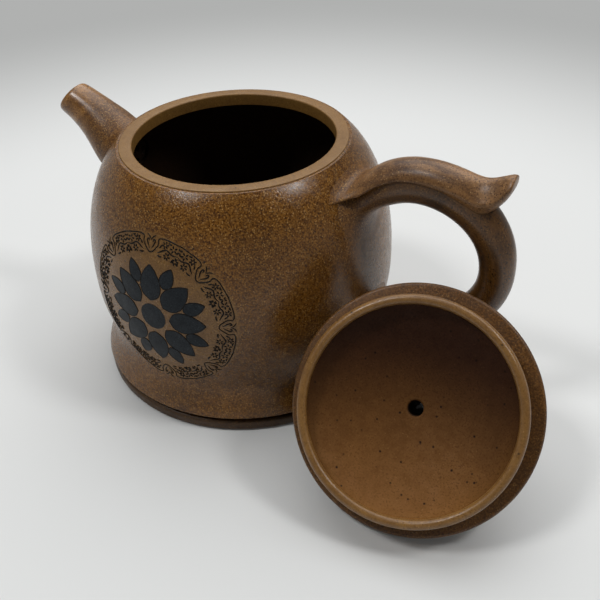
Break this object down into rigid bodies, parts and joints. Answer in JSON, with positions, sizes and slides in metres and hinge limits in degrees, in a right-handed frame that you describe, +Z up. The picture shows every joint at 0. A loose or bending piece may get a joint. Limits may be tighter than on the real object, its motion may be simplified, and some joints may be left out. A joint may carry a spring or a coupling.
{
  "type": "teapot",
  "caption": "Round unglazed clay teapot with a flared skirt, a short angled spout, a leaf-topped loop handle and a lift-off knobbed lid leaning beside it.",
  "frame": {"origin": "centre of the pot's flat underside, on the table", "axes": "+Z up along the pot's turning axis, +X towards the handle, -X towards the spout, -Y towards the decorated side and the resting lid"},
  "size_m": [0.1847, 0.1167, 0.0857],
  "materials": {
    "body_clay": "satin",
    "dark_clay": "matte",
    "rim_clay": "satin",
    "spout_clay": "satin",
    "handle_clay": "satin",
    "lid_clay": "satin",
    "lip_clay": "satin"
  },
  "bodies": {
    "pot": {"body_wall": "body_clay", "base_disc": "dark_clay", "foot_ring": "dark_clay", "mouth_rim": "rim_clay", "spout": "spout_clay", "strainer": "dark_clay", "handle_loop": "handle_clay", "handle_leaf": "handle_clay"},
    "lid": {"lid_disc": "lid_clay", "lid_ring": "lip_clay", "lid_knob": "lid_clay"}
  },
  "joints": [
    {"name": "lid_lift", "type": "slide", "parent": "pot", "child": "lid", "axis": [0.1193, -0.7529, 0.6472], "range_m": [0, 0.08]}
  ]
}
